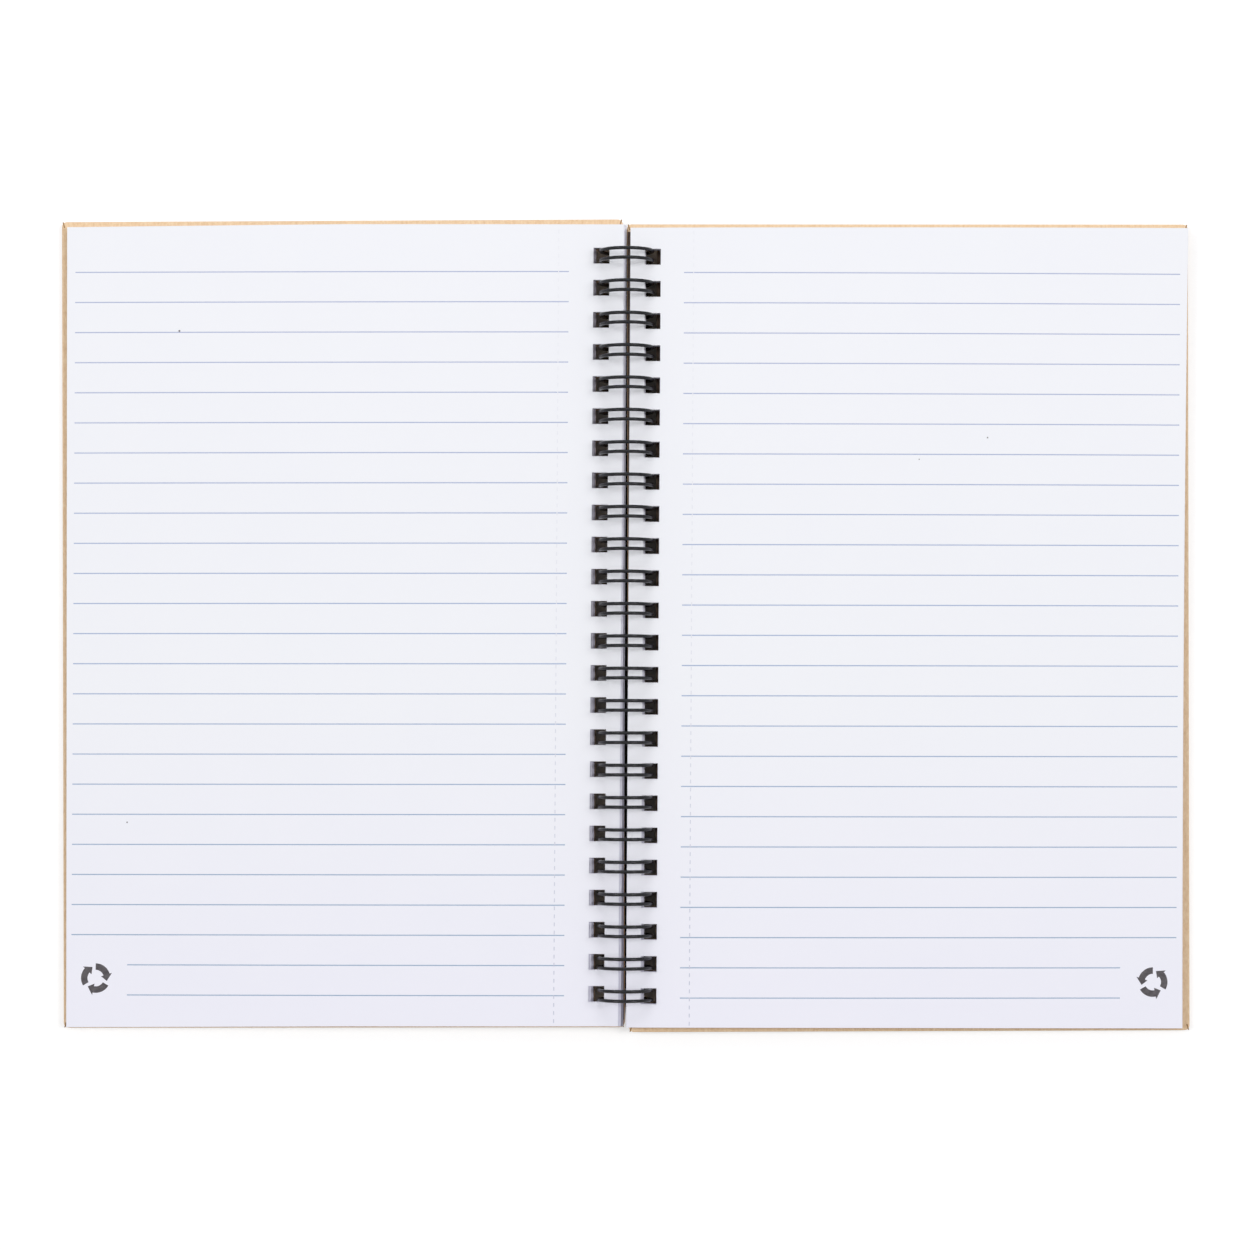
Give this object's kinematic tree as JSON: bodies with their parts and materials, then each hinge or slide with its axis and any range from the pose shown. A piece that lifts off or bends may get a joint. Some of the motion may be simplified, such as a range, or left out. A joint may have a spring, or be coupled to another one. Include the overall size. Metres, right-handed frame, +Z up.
{
  "type": "twin-loop wire-bound notebook",
  "caption": "Ruled notebook lying open flat: two hard covers of brown card, a stack of punched sheets on each, joined along the spine by a dark twin-loop wire.",
  "frame": {"origin": "on the table under the middle of the wire, where the spread's centre lies", "axes": "+X across the spread towards the back cover's fore edge, +Y up the page along the spine, +Z up from the table"},
  "size_m": [0.2994, 0.2148, 0.0148],
  "materials": {
    "cover_board": "matte",
    "sheets": "matte",
    "wire": "satin"
  },
  "bodies": {
    "wire": {"wire_binding": "wire"},
    "front_cover": {"front_cover": "cover_board"},
    "left_pages": {"left_pages": "sheets"},
    "back_cover": {"back_cover": "cover_board"},
    "right_pages": {"right_pages": "sheets"}
  },
  "joints": [
    {"name": "front_cover_turn", "type": "hinge", "parent": "wire", "child": "front_cover", "pos_m": [0, 0, 0.00746], "axis": [0, 1, 0], "range_deg": [0, 179]},
    {"name": "left_pages_turn", "type": "hinge", "parent": "front_cover", "child": "left_pages", "pos_m": [0, 0, 0.00746], "axis": [0, 1, 0], "range_deg": [0, 179]},
    {"name": "back_cover_turn", "type": "hinge", "parent": "wire", "child": "back_cover", "pos_m": [0, 0, 0.00746], "axis": [0, -1, 0], "range_deg": [0, 179]},
    {"name": "right_pages_turn", "type": "hinge", "parent": "back_cover", "child": "right_pages", "pos_m": [0, 0, 0.00746], "axis": [0, -1, 0], "range_deg": [0, 179]}
  ]
}
